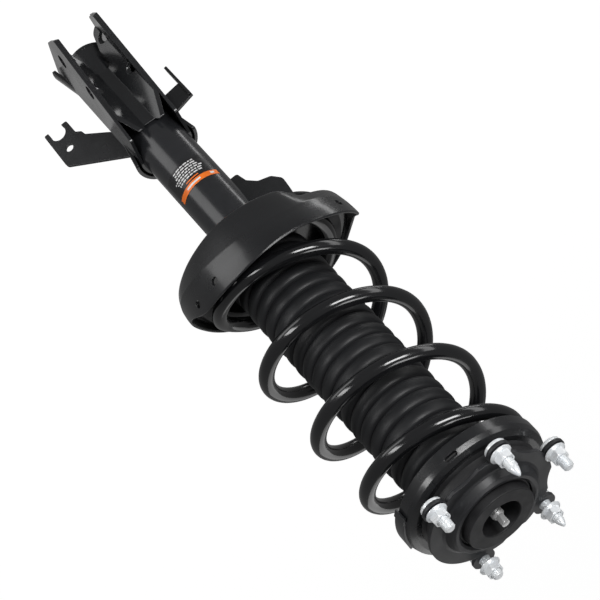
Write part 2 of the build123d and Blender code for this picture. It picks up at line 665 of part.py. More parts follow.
with BuildPart() as line_bracket:
    with BuildSketch(Plane.XZ.offset(-18)):
        with BuildLine():
            FilletPolyline((-15, -448), (-33, -446), (-35.5, -433), (-43, -423), (-55, -417), (-62, -406),
                           (-60, -388), (-44, -353), (-15, -353), radius=[1, 3, 4, 6, 8, 8, 12, 2, 1], close=True)
        make_face()
    extrude(amount=hook_sheet)
    with BuildSketch(Plane.XY.offset(-460)):
        Circle(tube_outer + 0.05)
    extrude(amount=130, mode=Mode.SUBTRACT)
write(line_bracket, "line_bracket")

# ---------------------------------------------------------------- label wrapped round the tube
label_floor, label_top = -467.5, -436.4
label_half_angle = 57.0
with BuildPart() as label:
    with BuildSketch(Plane.XY.offset(label_floor)):
        with BuildLine():
            start, end = -90 - label_half_angle, -90 + label_half_angle
            CenterArc((0, 0), tube_outer + 0.02, start, 2 * label_half_angle)
            Line(polar(tube_outer + 0.02, end)[:2], polar(tube_outer + 0.25, end)[:2])
            CenterArc((0, 0), tube_outer + 0.25, start, 2 * label_half_angle)
            Line(polar(tube_outer + 0.25, start)[:2], polar(tube_outer + 0.02, start)[:2])
        make_face()
    extrude(amount=label_top - label_floor)
write(label, "label")
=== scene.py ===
"""Looks for the suspension strut: materials, lights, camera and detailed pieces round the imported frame.

Everything is in metres in the part's own frame: the origin is the centre of the mount plate's top face,
+Z runs up the strut's axis, and the camera stands on the -Y side.
"""

import json
import math
import random

import bmesh
import bpy
import numpy as np
from mathutils import Matrix, Vector


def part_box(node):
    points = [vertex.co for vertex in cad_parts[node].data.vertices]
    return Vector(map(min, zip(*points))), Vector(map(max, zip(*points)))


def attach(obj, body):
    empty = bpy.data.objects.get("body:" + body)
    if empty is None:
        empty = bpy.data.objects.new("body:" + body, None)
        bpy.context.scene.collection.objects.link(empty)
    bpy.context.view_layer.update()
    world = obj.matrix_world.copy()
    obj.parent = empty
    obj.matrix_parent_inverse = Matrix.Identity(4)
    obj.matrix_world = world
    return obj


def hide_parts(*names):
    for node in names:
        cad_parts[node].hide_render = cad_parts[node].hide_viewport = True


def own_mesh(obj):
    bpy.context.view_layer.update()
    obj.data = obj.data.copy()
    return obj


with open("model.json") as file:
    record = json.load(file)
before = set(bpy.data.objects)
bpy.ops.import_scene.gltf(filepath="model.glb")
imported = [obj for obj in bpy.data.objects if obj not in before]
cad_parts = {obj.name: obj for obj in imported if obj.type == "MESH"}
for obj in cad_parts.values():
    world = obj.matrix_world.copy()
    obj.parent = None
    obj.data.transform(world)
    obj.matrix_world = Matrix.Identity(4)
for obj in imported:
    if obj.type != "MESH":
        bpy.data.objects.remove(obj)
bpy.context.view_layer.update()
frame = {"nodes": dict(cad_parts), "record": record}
nodes = frame["nodes"]

MM = 0.001


# ---------------------------------------------------------------- stage, camera and lights
def look_at(place, target, roll=0.0):
    """Matrix of a camera or light at place that faces target, rolled about its own axis in degrees."""
    facing = (Vector(target) - Vector(place)).to_track_quat("-Z", "Y").to_matrix().to_4x4()
    return Matrix.Translation(place) @ facing @ Matrix.Rotation(math.radians(roll), 4, "Z")


def add_camera():
    """A long lens well above the mount end, rolled so that the strut runs down to the right."""
    lens = bpy.data.cameras.new("camera")
    lens.lens = 124.46
    lens.sensor_width = 36.0
    lens.clip_end = 50.0
    camera = bpy.data.objects.new("camera", lens)
    bpy.context.scene.collection.objects.link(camera)
    camera.matrix_world = look_at((-0.0161, -1.4958, 0.7831), (-0.0004, -0.2054, -0.1336), 137.84)
    bpy.context.scene.camera = camera


def add_softbox(name, place, target, size, power):
    """A rectangular area light that faces target."""
    light = bpy.data.lights.new(name, "AREA")
    light.shape = "RECTANGLE"
    light.size, light.size_y = size
    light.energy = power
    lamp = bpy.data.objects.new(name, light)
    bpy.context.scene.collection.objects.link(lamp)
    lamp.matrix_world = look_at(place, target)


def add_stage():
    """A pale floor below the strut's foot and a pale dome behind everything."""
    floor_height = -2.2
    bpy.ops.mesh.primitive_plane_add(size=24, location=(0, 0, floor_height))
    floor = bpy.context.object
    floor.name = "floor"
    bpy.ops.mesh.primitive_uv_sphere_add(segments=64, ring_count=32, radius=11)
    dome = bpy.context.object
    dome.name = "backdrop"
    for stage_piece, glow in ((floor, 0.93), (dome, 0.97)):
        material = bpy.data.materials.new(stage_piece.name + "_paper")
        material.use_nodes = True
        shader = material.node_tree.nodes["Principled BSDF"]
        shader.inputs["Base Color"].default_value = (0.35, 0.35, 0.35, 1)
        shader.inputs["Roughness"].default_value = 1.0
        shader.inputs["Specular IOR Level"].default_value = 0.0
        shader.inputs["Emission Color"].default_value = (1, 1, 1, 1)
        shader.inputs["Emission Strength"].default_value = glow
        stage_piece.data.materials.append(material)
        stage_piece.visible_glossy = False
        stage_piece.visible_diffuse = False
    dome.visible_shadow = False


def add_lights():
    """Softboxes: two by the camera, low ones that the upright faces mirror, one over the mount."""
    middle = (0, 0, -0.30)
    add_softbox("key", (-0.75, -1.25, 0.45), middle, (0.75, 0.55), 16)
    add_softbox("left_box", (1.0, -1.30, -0.15), middle, (0.35, 1.1), 8)
    add_softbox("low_box", (0.62, -0.88, -1.25), (0, 0, -0.5), (0.8, 0.7), 2.6)
    add_softbox("low_strip", (-1.05, 0.15, -1.25), (0, 0, -0.5), (0.14, 0.7), 0.9)
    add_softbox("under_box", (0.10, 0.75, -1.5), (0, 0, -0.4), (0.9, 0.6), 0.35)
    add_softbox("right_strip", (-1.25, -0.35, -0.25), middle, (0.3, 1.6), 3)
    add_softbox("mount_light", (-0.35, -0.25, 1.25), (0, 0, -0.05), (0.6, 0.4), 3.5)
    add_softbox("back_light", (0.2, 1.3, 0.3), middle, (1.2, 0.8), 2.0)
    world = bpy.data.worlds.new("studio")
    world.use_nodes = True
    world.node_tree.nodes["Background"].inputs[0].default_value = (1, 1, 1, 1)
    world.node_tree.nodes["Background"].inputs[1].default_value = 0.16
    bpy.context.scene.world = world
    bpy.context.scene.view_settings.view_transform = "Standard"


# ---------------------------------------------------------------- materials
NOISE_LOW, NOISE_HIGH = 0.35, 0.65
# pointiness range over which convex edges get the painted highlight
HIGHLIGHT_FROM, HIGHLIGHT_TO = 0.53, 0.60
EDGE_ROUNDING = 0.0007


class Surface:
    """A Principled material and the few node set-ups that every surface here uses."""

    def __init__(self, name, **sockets):
        self.material = bpy.data.materials.new(name)
        self.material.use_nodes = True
        self.tree = self.material.node_tree
        self.shader = self.tree.nodes["Principled BSDF"]
        for socket, value in sockets.items():
            self.shader.inputs[socket.replace("_", " ")].default_value = value
        self.place = self.tree.nodes.new("ShaderNodeTexCoord").outputs["Object"]

    def noise(self, scale, detail, stretch=(1, 1, 1)):
        """Noise value with features about 1/scale metres across."""
        mapping = self.tree.nodes.new("ShaderNodeMapping")
        mapping.inputs["Scale"].default_value = stretch
        texture = self.tree.nodes.new("ShaderNodeTexNoise")
        texture.inputs["Scale"].default_value = scale
        texture.inputs["Detail"].default_value = detail
        self.tree.links.new(self.place, mapping.inputs[0])
        self.tree.links.new(mapping.outputs[0], texture.inputs["Vector"])
        return texture.outputs["Fac"]

    def ramp(self, value, low, high, start=NOISE_LOW, end=NOISE_HIGH):
        """Colour that runs from low to high as value goes from start to end."""
        ramp = self.tree.nodes.new("ShaderNodeValToRGB")
        ramp.color_ramp.elements[0].position = start
        ramp.color_ramp.elements[1].position = end
        ramp.color_ramp.elements[0].color = (*low, 1)
        ramp.color_ramp.elements[1].color = (*high, 1)
        self.tree.links.new(value, ramp.inputs[0])
        return ramp.outputs[0]

    def colour(self, value, low, high):
        """Base colour that varies between two tones."""
        self.tree.links.new(self.ramp(value, low, high), self.shader.inputs["Base Color"])

    def roughness(self, value, low, high):
        """Roughness that varies between two values."""
        remap = self.tree.nodes.new("ShaderNodeMapRange")
        remap.inputs["From Min"].default_value = NOISE_LOW
        remap.inputs["From Max"].default_value = NOISE_HIGH
        remap.inputs["To Min"].default_value = low
        remap.inputs["To Max"].default_value = high
        self.tree.links.new(value, remap.inputs["Value"])
        self.tree.links.new(remap.outputs[0], self.shader.inputs["Roughness"])

    def bump(self, value, depth, strength, under=None):
        """Surface relief of this depth in metres; under is a bump to add it to."""
        bump = self.tree.nodes.new("ShaderNodeBump")
        bump.inputs["Strength"].default_value = strength
        bump.inputs["Distance"].default_value = depth
        self.tree.links.new(value, bump.inputs["Height"])
        if under:
            self.tree.links.new(under, bump.inputs["Normal"])
        self.tree.links.new(bump.outputs[0], self.shader.inputs["Normal"])
        return bump.outputs[0]

    def highlight_edges(self, value, base, highlight_tone):
        """Painted highlight: a lighter tone along convex edges, broken up by a noise value."""
        edge = self.tree.nodes.new("ShaderNodeNewGeometry").outputs["Pointiness"]
        mask = self.ramp(edge, (0, 0, 0), (1, 1, 1), HIGHLIGHT_FROM, HIGHLIGHT_TO)
        patchy = self.tree.nodes.new("ShaderNodeMath")
        patchy.operation = "MULTIPLY"
        self.tree.links.new(mask, patchy.inputs[0])
        self.tree.links.new(value, patchy.inputs[1])
        mix = self.tree.nodes.new("ShaderNodeMix")
        mix.data_type = "RGBA"
        self.tree.links.new(patchy.outputs[0], mix.inputs["Factor"])
        self.tree.links.new(base, mix.inputs[6])
        mix.inputs[7].default_value = (*highlight_tone, 1)
        self.tree.links.new(mix.outputs[2], self.shader.inputs["Base Color"])


def painted(name, tone, gloss, coat=0.0):
    """Black paint over steel: faint orange peel, edges rounded over, and a painted highlight that makes the
    edges slightly lighter.

    gloss is (low, high) roughness, here and in the other finishes.
    """
    surface = Surface(name, Coat_Weight=coat, Coat_Roughness=0.14, Specular_IOR_Level=0.55)
    cloud = surface.noise(14, 2)
    base = surface.ramp(cloud, tone, tuple(1.3 * c for c in tone))
    # painted highlight: convex edges lightened in the base colour
    surface.highlight_edges(surface.noise(150, 2), base, tuple(1.8 * c + 0.004 for c in tone))
    surface.roughness(surface.noise(35, 2), *gloss)
    rounding = surface.tree.nodes.new("ShaderNodeBevel")
    rounding.samples = 4
    rounding.inputs["Radius"].default_value = EDGE_ROUNDING
    surface.tree.links.new(rounding.outputs[0], surface.shader.inputs["Coat Normal"])
    surface.bump(surface.noise(120, 1), 0.00005, 0.1, under=rounding.outputs[0])
    return surface.material


def moulded(name, tone, gloss, grain=900, depth=0.00005, specular=0.4):
    """Moulded rubber or plastic with a fine grain."""
    surface = Surface(name, Specular_IOR_Level=specular)
    surface.colour(surface.noise(24, 4), tone, tuple(1.5 * c for c in tone))
    surface.roughness(surface.noise(90, 5), *gloss)
    broad = surface.bump(surface.noise(70, 3), 0.00025, 0.4)
    surface.bump(surface.noise(grain, 4), depth, 0.5, under=broad)
    return surface.material


def metal(name, tone, gloss, tint=None, turned=False, metallic=1.0):
    """Bare or plated metal; turned adds fine rings round the axis."""
    surface = Surface(name, Metallic=metallic)
    surface.colour(surface.noise(90, 2), tone, tint or tuple(0.85 * c for c in tone))
    surface.roughness(surface.noise(60, 2), *gloss)
    if turned:
        surface.bump(surface.noise(30, 4, (1, 1, 60)), 0.00002, 0.15)
    return surface.material


def make_materials():
    """One material for each of the record's slots, and the label's printing inks."""
    return {
        "ecoat_satin": painted("ecoat_satin", (0.013, 0.0135, 0.015), (0.36, 0.46)),
        "ecoat_gloss": painted("ecoat_gloss", (0.009, 0.0094, 0.0105), (0.24, 0.32), 0.5),
        "bracket_paint": painted("bracket_paint", (0.008, 0.0084, 0.0094), (0.2, 0.28), 0.6),
        "tube_paint": painted("tube_paint", (0.011, 0.0115, 0.013), (0.22, 0.27), 0.4),
        "spring_paint": painted("spring_paint", (0.007, 0.0072, 0.008), (0.10, 0.17), 0.5),
        "zinc": metal("zinc", (0.90, 0.92, 0.93), (0.24, 0.30), (0.82, 0.85, 0.88), metallic=0.25),
        "plain_steel": metal("plain_steel", (0.45, 0.45, 0.46), (0.25, 0.4), turned=True),
        "bearing_steel": metal("bearing_steel", (0.75, 0.75, 0.77), (0.05, 0.12)),
        "rod_chrome": metal("rod_chrome", (0.62, 0.62, 0.62), (0.22, 0.3), turned=True, metallic=0.55),
        "sintered": metal("sintered", (0.28, 0.28, 0.29), (0.45, 0.6)),
        "bronze": metal("bronze", (0.5, 0.34, 0.17), (0.3, 0.45)),
        "band": moulded("band", (0.05, 0.05, 0.055), (0.4, 0.5)),
        "rubber": moulded("rubber", (0.012, 0.012, 0.013), (0.48, 0.6)),
        "foam": moulded("foam", (0.5, 0.44, 0.26), (0.8, 0.95), grain=500, depth=0.0003),
        "boot_plastic": moulded("boot_plastic", (0.010, 0.0104, 0.0114), (0.42, 0.50), specular=0.36),
        "plastic": moulded("plastic", (0.02, 0.02, 0.021), (0.4, 0.55)),
        "plastic_cage": moulded("plastic_cage", (0.45, 0.42, 0.33), (0.4, 0.5)),
        "label": moulded("label", (0.018, 0.018, 0.019), (0.22, 0.3), depth=0.00002),
        "ink_orange": moulded("ink_orange", (0.80, 0.17, 0.02), (0.3, 0.4), depth=0.00002),
        "ink_white": moulded("ink_white", (0.66, 0.66, 0.66), (0.3, 0.4), depth=0.00002),
    }


# ---------------------------------------------------------------- mesh helpers
# radius in mm at which a turned solid's end is closed
AXIS = 0.05


def add_mesh(name, vertices, faces, slot, body, sharp=40.0, ink=None):
    """A mesh object, smooth up to sharp degrees, that rides on a body; ink replaces the slot's finish."""
    mesh = bpy.data.meshes.new(name)
    mesh.from_pydata([tuple(v) for v in vertices], [], faces)
    mesh.validate()
    mesh.update()
    mesh.shade_smooth()
    mesh.set_sharp_from_angle(angle=math.radians(sharp))
    piece = bpy.data.objects.new(name, mesh)
    bpy.context.scene.collection.objects.link(piece)
    mesh.materials.append(materials[ink or slot])
    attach(piece, body)
    return piece


def grid_faces(rows, columns, closed_rows=False):
    """Quads between rings of vertices numbered row by row; closed_rows joins the last ring to the first."""
    faces = []
    for i in range(rows if closed_rows else rows - 1):
        here, above = i * columns, (i + 1) % rows * columns
        for j in range(columns):
            beside = (j + 1) % columns
            faces.append((here + j, here + beside, above + beside, above + j))
    return faces


def tube_mesh(rings):
    """Vertices and faces of a closed tube through rings of points, with flat ends."""
    rows, columns = rings.shape[:2]
    faces = grid_faces(rows, columns)
    faces.append(tuple(reversed(range(columns))))
    faces.append(tuple((rows - 1) * columns + j for j in range(columns)))
    return rings.reshape(-1, 3), faces


def lathe(profile, columns=96, centre=(0.0, 0.0), shape=None):
    """Vertices and faces of (radius, height) points in mm, turned about a vertical line at centre.

    The last two faces close the ends. shape(angle, radius, height) may change the radius.
    """
    turns = np.arange(columns) * 2 * math.pi / columns
    rings = np.zeros((len(profile), columns, 3))
    for row, (radius, height) in enumerate(profile):
        reach = np.array([shape(t, radius, height) if shape else radius for t in turns])
        rings[row, :, 0] = (centre[0] + reach * np.cos(turns)) * MM
        rings[row, :, 1] = (centre[1] + reach * np.sin(turns)) * MM
        rings[row, :, 2] = height * MM
    return tube_mesh(rings)


def lathe_ring(profile, columns, centre, shape=None):
    """Like lathe, but with a bore: the profile's last ring is joined back to its first."""
    vertices, faces = lathe(profile, columns, centre, shape)
    last = (len(profile) - 1) * columns
    bore = [(last + j, last + (j + 1) % columns, (j + 1) % columns, j) for j in range(columns)]
    return vertices, faces[:-2] + bore


def merged(*meshes):
    """One vertex and face list from several."""
    vertices, faces = [], []
    for some, polygons in meshes:
        shift = sum(len(v) for v in vertices)
        vertices.append(np.asarray(some))
        faces += [tuple(i + shift for i in polygon) for polygon in polygons]
    return np.concatenate(vertices), faces


def threaded(centre, root, crest, pitch, low, high, lead=1.5, columns=36):
    """A rod with a real thread from low to high, tapered over its lead-in at the top, in mm."""
    rows_per_pitch, flat = 8, 0.12
    profile = [(AXIS, low)]
    rows = int((high - low) / pitch * rows_per_pitch)
    profile += [(crest, low + (high - low) * i / rows) for i in range(rows + 1)]
    profile += [(max(crest - lead - 0.4, 0.6), high + 0.02), (AXIS, high + 0.02)]

    def shape(turn, radius, height):
        if radius < crest:
            return radius
        phase = (height / pitch - turn / (2 * math.pi)) % 1.0
        ridge = 1.0 - abs(2.0 * phase - 1.0)
        depth = min(1.0, max(0.0, (ridge - flat) / (1 - 2 * flat)))
        taper = max(0.0, height - (high - lead))
        return min(root + (crest - root) * depth, crest - taper)

    return lathe(profile, columns, centre, shape)


# ---------------------------------------------------------------- studs, nuts and rod
STUD_RING = 68.0
STUD_BEARINGS = {"plain_studs": (180, 300, 60), "pilot_studs": (240, 120)}
RAISED_NUTS = (120, 60)
PLATE_THICKNESS = 3.5
HEAD_FLOOR = -7.0
THREAD_ROOT, THREAD_CREST, THREAD_PITCH = 4.25, 4.98, 1.25
NUT_FLATS, NUT_FLANGE = 14.0, 2.9
# (radius, height) outlines in mm; the nut's heights are above its seat
STUD_HEAD = ((AXIS, HEAD_FLOOR), (8.6, HEAD_FLOOR), (9.6, HEAD_FLOOR + 0.3), (10.0, HEAD_FLOOR + 0.9),
             (10.0, -4.2), (9.7, -PLATE_THICKNESS), (5.3, -PLATE_THICKNESS), (5.3, -0.05), (AXIS, -0.05))
STUD_POINT = ((AXIS, 18.2), (4.0, 18.2), (4.15, 19.0), (4.1, 20.2), (3.4, 22.3), (2.2, 25.0), (1.3, 26.6),
              (0.8, 27.0), (AXIS, 27.0))
NUT_OUTLINE = ((5.1, 0.0), (8.6, 0.0), (9.6, 0.15), (10.0, 0.6), (9.9, 1.1), (9.2, 1.7), (8.1, 2.4),
               (7.7, 2.85), (8.1, NUT_FLANGE), (8.1, 7.4), (8.0, 8.2), (7.6, 8.9), (7.1, 9.35), (6.7, 9.5),
               (5.6, 9.5), (5.05, 9.0))
ROD_SHAFT = ((AXIS, -357.5), (5.95, -357.5), (5.95, -322.95), (9.4, -322.95), (9.97, -322.4), (9.97, -23.0),
             (9.0, -22.0), (5.9, -22.0), (5.9, -14.0), (AXIS, -14.0))
ROD_KEY = ((AXIS, 10.4), (3.9, 10.4), (4.2, 10.6), (4.2, 18.6), (3.75, 19.3), (3.3, 19.4), (AXIS, 19.4))
ROD_KEY_FLATS = 7.2


def stud_centre(bearing):
    """Where a stud stands on the plate, in mm."""
    return (STUD_RING * math.cos(math.radians(bearing)), STUD_RING * math.sin(math.radians(bearing)))


def hexagon(flats, turn):
    """Radius of a hexagon with this distance across flats, at this angle."""
    return flats / 2 / math.cos((turn + math.pi / 6) % (math.pi / 3) - math.pi / 6)


def add_studs():
    """Pressed-in studs with round heads, real threads and, on two of them, a plain pointed lead-in."""
    thread = (THREAD_ROOT, THREAD_CREST, THREAD_PITCH, -0.1)
    for node, bearings in STUD_BEARINGS.items():
        parts = []
        for bearing in bearings:
            centre = stud_centre(bearing)
            parts.append(lathe(STUD_HEAD, 64, centre))
            if node == "plain_studs":
                parts.append(threaded(centre, *thread, 21.0))
            else:
                parts.append(threaded(centre, *thread, 18.4, lead=0.9))
                parts.append(lathe(STUD_POINT, 36, centre))
        piece = add_mesh("threaded_" + node, *merged(*parts), "zinc", "top_mount", 50)
        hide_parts(node)


def nut(bearing):
    """Mesh of one flanged hexagon nut with rounded corners; one of its flats faces the plate's middle."""
    seat = 7.0 if bearing in RAISED_NUTS else 1.0

    def shape(turn, radius, height):
        if radius < 6.0 or height < seat + NUT_FLANGE:
            return radius
        return min(radius, hexagon(NUT_FLATS, turn - math.radians(bearing)))

    profile = [(radius, seat + height) for radius, height in NUT_OUTLINE]
    return lathe_ring(profile, 96, stud_centre(bearing), shape)


def add_nuts():
    """The five nuts as one piece; two of them sit higher on their studs."""
    nuts = [nut(bearing) for bearing in sum(STUD_BEARINGS.values(), ())]
    piece = add_mesh("hex_flange_nuts", *merged(*nuts), "zinc", "top_mount", 32)
    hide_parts("flange_nuts")


def add_rod():
    """Damper rod: chromed shaft, threaded neck in the mount and a hexagon key end."""
    def shape(turn, radius, height):
        return min(radius, hexagon(ROD_KEY_FLATS, turn)) if radius > 3.0 else radius

    shaft = lathe(ROD_SHAFT, 64)
    neck = threaded((0, 0), 5.0, 5.75, THREAD_PITCH, -14.1, 10.5, lead=1.4, columns=40)
    key = lathe(ROD_KEY, 72, shape=shape)
    piece = add_mesh("threaded_rod", *merged(shaft, neck, key), "rod_chrome", "top_mount", 35)
    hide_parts("piston_rod")


# ---------------------------------------------------------------- spring and boot
WIRE_RADIUS = 6.97
WIRE_SIDES = 28
WIRE_STEP = 3.0
END_TAPER = 0.9
COIL_RADIUS = 70.0
# height and radius of the wire's centre at each half turn, from its lowest working point up
HALF_TURN_HEIGHTS = (-319.0, -260.0, -228.5, -193.0, -148.5, -115.0, -78.5, -44.0, -30.6)
HALF_TURN_RADII = (64.0,) + (COIL_RADIUS,) * 6 + (61.5, 60.2)
TOP_TURN = 180.0 * (len(HALF_TURN_HEIGHTS) - 1)
START_SLOPE = 75.0
END_RADIUS = 62.0
SEAT_HEIGHT, SEAT_TILT = -327.5, 3.9
SPRING_SHIFT = 3.0
SHIFT_TOP, SHIFT_BLEND = -44.0, 70.0
FRONT_LIFT = 5.5
LOWER_TAIL, UPPER_TAIL = 250.0, 95.0


def through(knots, position, start_slope=0.0):
    """Value of a smooth curve with no overshoot (a monotone cubic) through knots at 0, 1, 2 and so on."""
    last = len(knots) - 1
    if position >= last:
        return knots[-1]
    steps = [b - a for a, b in zip(knots, knots[1:])]

    def slope(knot):
        if knot == 0:
            return start_slope
        if knot == last or steps[knot - 1] * steps[knot] <= 0:
            return 0.0
        return 2 * steps[knot - 1] * steps[knot] / (steps[knot - 1] + steps[knot])

    knot = int(position)
    u = position - knot
    return ((2 * u**3 - 3 * u**2 + 1) * knots[knot] + (u**3 - 2 * u**2 + u) * slope(knot)
            + (3 * u**2 - 2 * u**3) * knots[knot + 1] + (u**3 - u**2) * slope(knot + 1))


def wire_centre(wound):
    """Centre of the spring wire, in mm, this many degrees past +X; it winds clockwise.

    Below 0 it is the dead coil, which leads down from +X and lies on the tilted seat.
    """
    turned = math.radians(wound)
    if wound <= 0:
        landing, lift_off, easing = 90.0, 36.0, 30.0
        if wound > -lift_off:
            height = HALF_TURN_HEIGHTS[0] + START_SLOPE / 180 * wound * (1 + wound / (2 * lift_off))
        elif wound > -landing:
            height = SEAT_HEIGHT + (landing + wound) / (landing - lift_off)
        else:
            height = SEAT_HEIGHT - SEAT_TILT * math.cos(turned)
        radius = END_RADIUS + (HALF_TURN_RADII[0] - END_RADIUS) * math.exp(wound / easing)
        return (radius * math.cos(turned) + SPRING_SHIFT, -radius * math.sin(turned), height)
    lift = 0.0 if wound > TOP_TURN else FRONT_LIFT * max(0.0, math.sin(turned)) * (1 - math.cos(turned)) / 2
    radius = through(HALF_TURN_RADII, wound / 180)
    height = through(HALF_TURN_HEIGHTS, wound / 180, START_SLOPE) + lift
    shift = SPRING_SHIFT * min(1.0, max(0.0, (SHIFT_TOP - height) / SHIFT_BLEND))
    return (radius * math.cos(turned) + shift, -radius * math.sin(turned), height)


def wire(first, last):
    """Round wire swept between two places in degrees wound; an end that isn't at 0 is tapered a little."""
    count = int((last - first) / WIRE_STEP)
    places = [first + (last - first) * i / count for i in range(count + 1)]
    centres = np.array([wire_centre(place) for place in places])
    along = np.array([wire_centre(place + 0.5) for place in places])
    along -= [wire_centre(place - 0.5) for place in places]
    along /= np.linalg.norm(along, axis=1)[:, None]
    out = centres * [1, 1, 0]
    out -= (out * along).sum(1)[:, None] * along
    out /= np.linalg.norm(out, axis=1)[:, None]
    up = np.cross(along, out)
    turns = np.arange(WIRE_SIDES) * 2 * math.pi / WIRE_SIDES
    radii = np.full(count + 1, WIRE_RADIUS)
    if first:
        radii[0] -= END_TAPER
    if last:
        radii[-1] -= END_TAPER
    circle = out[:, None] * np.cos(turns)[None, :, None] + up[:, None] * np.sin(turns)[None, :, None]
    return tube_mesh((centres[:, None] + circle * radii[:, None, None]) * MM)


def add_spring():
    """The working coils ride on the spring seat; the dead coil stays in the lower seat. They meet at +X."""
    working = add_mesh("wound_spring", *wire(0, TOP_TURN + UPPER_TAIL), "spring_paint", "spring_seat", 60)
    add_mesh("spring_dead_coil", *wire(-LOWER_TAIL, 0), "spring_paint", "strut_body", 60)
    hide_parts("coil_spring")
    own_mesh(working)


def add_boot():
    """Bellows: full round folds, no two quite alike, with tight creases between them."""
    low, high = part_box("dust_boot")
    centre = ((low.x + high.x) / 2 / MM, (low.y + high.y) / 2 / MM)
    crest, top, bottom = (high.x - low.x) / 2 / MM, high.z / MM, low.z / MM
    folds, depth, wall, samples, fullness = 21, 4.4, 1.8, 14, 2.3
    pitch = (top - bottom) / folds
    waver = random.Random(7)
    outside = []
    for fold in range(folds):
        nudge = waver.uniform(-0.35, 0.35)
        for i in range(samples):
            u = i / samples
            bulge = math.sqrt(max(0.0, 1 - abs(2 * u - 1) ** fullness))
            outside.append((crest - depth + depth * bulge + nudge * bulge * 0.4, top - (fold + u) * pitch))
    outside.append((crest - depth, bottom))
    inside = [(radius - wall, height) for radius, height in reversed(outside)]
    bellows = lathe_ring(outside + inside, 128, centre)
    piece = add_mesh("bellows_boot", *bellows, "boot_plastic", "spring_seat", 70)
    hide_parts("dust_boot")
    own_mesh(piece)


# ---------------------------------------------------------------- label
TUBE_RADIUS = 25.5
LABEL_LOW, LABEL_HIGH = -467.5, -436.4
LABEL_START, LABEL_END = -147.0, -33.0
LABEL_MIDDLE = -90
PRINT_LINES, LINE_PITCH, LINE_HEIGHT, WORD_GAP = 6, 3.0, 1.5, 2.2


def curved_patch(lift, start, end, low, high):
    """A patch bent round the tube, lift mm off it, between two bearings in degrees and two heights in mm."""
    radius = TUBE_RADIUS + lift
    columns = max(3, int((end - start) / 3))
    turns = np.radians(np.linspace(start, end, columns + 1))
    edge = [(radius * math.cos(turn), radius * math.sin(turn)) for turn in turns]
    vertices = [(x * MM, y * MM, z * MM) for z in (low, high) for x, y in edge]
    return vertices, [(i, i + 1, columns + 2 + i, columns + 1 + i) for i in range(columns)]


def add_label():
    """Black film label with an orange end band and short grey-white print bars in place of text."""
    inside, outside = TUBE_RADIUS + 0.02, TUBE_RADIUS + 0.2
    section = [(inside, LABEL_LOW), (outside, LABEL_LOW), (outside, LABEL_HIGH), (inside, LABEL_HIGH)]
    vertices, faces = lathe(section, 120)
    bearings = [math.degrees(math.atan2(y, x)) for x, y, z in vertices]
    covered = [LABEL_START - 3 <= bearing <= LABEL_END + 3 for bearing in bearings]
    kept = [face for face in faces[:-2] if all(covered[i] for i in face)]
    film = add_mesh("label_film", vertices, kept, "label", "strut_body")
    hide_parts("label")
    band = curved_patch(0.23, LABEL_START, LABEL_END, LABEL_HIGH - 6.6, LABEL_HIGH - 0.3)
    rule = curved_patch(0.23, -106, -72, LABEL_HIGH - 9.6, LABEL_HIGH - 8.4)
    add_mesh("label_band", *merged(band, rule), "label", "strut_body", ink="ink_orange")
    bars = [curved_patch(0.26, -104, -66, LABEL_HIGH - 4.6, LABEL_HIGH - 2.4),
            curved_patch(0.26, -137, -128, LABEL_HIGH - 5.0, LABEL_HIGH - 2.2)]
    pen = random.Random(11)
    for line in range(PRINT_LINES):
        top = LABEL_HIGH - 12.2 - line * LINE_PITCH
        reach = pen.uniform(24, 38)
        bearing = LABEL_MIDDLE - reach
        while bearing < LABEL_MIDDLE + reach:
            word = pen.uniform(4, 11)
            end = min(bearing + word, LABEL_MIDDLE + 2 + reach)
            bars.append(curved_patch(0.24, bearing, end, top - LINE_HEIGHT, top))
            bearing += word + WORD_GAP
    add_mesh("label_print", *merged(*bars), "label", "strut_body", ink="ink_white")


# ---------------------------------------------------------------- lower spring perch
PERCH_TILT = math.tan(math.radians(5.5))
PERCH_FLOOR = -344.5
PERCH_SHEET = 2.9
# what the pressing does at each bearing: {bearing in degrees: radius or height in mm}
CORNER_RADII = {-180: 87, -160: 85, -135: 80, -120: 78, -60: 78, -40: 81, -20: 86, 0: 87, 20: 86, 45: 83,
                70: 81, 110: 81, 135: 83, 160: 86}
RIM_RADII = {-180: 89, -160: 90, -135: 88.5, -110: 87.5, -70: 87.5, -45: 88.5, -20: 90, 0: 89.5, 20: 87.5,
             45: 85, 70: 83.5, 110: 83.5, 135: 85.5, 160: 88}
RIM_HEIGHTS = {-180: -304, -170: -297, -156: -289, -137: -283, -90: -281, -72: -283, -57: -288, -42: -296,
               -34: -302, -20: -323, -5: -336, 10: -341, 40: -342, 90: -337, 150: -331, 168: -322}
CREASE_HEIGHTS = {-180: -318, -150: -312, -120: -306, -95: -308, -82: -312, -70: -316, -57: -322, -42: -331,
                  -25: -341, 0: -347, 45: -346.5, 90: -342, 170: -330}
POCKET_RISE = {-180: 0, -168: 3, -150: 10, -138: 14, -128: 0, 0: 0}
COLLAR_RADIUS = 28.6
DRAIN_HOLES = ((-59, -302), (-38, -311), (-155, -302), (-169, -307))
DRAIN_HOLE_RADIUS = 3.8


def right_round(knots, bearings, spread=5.0):
    """Values at evenly spaced bearings from {bearing: value} knots, smoothed over spread degrees."""
    places = sorted(knots)
    straight = np.interp(bearings, places, [knots[place] for place in places], period=360)
    apart = np.minimum(bearings - bearings[0], 360 - (bearings - bearings[0]))
    weights = np.exp(-0.5 * (apart / spread) ** 2)
    return np.real(np.fft.ifft(np.fft.fft(straight) * np.fft.fft(weights / weights.sum())))


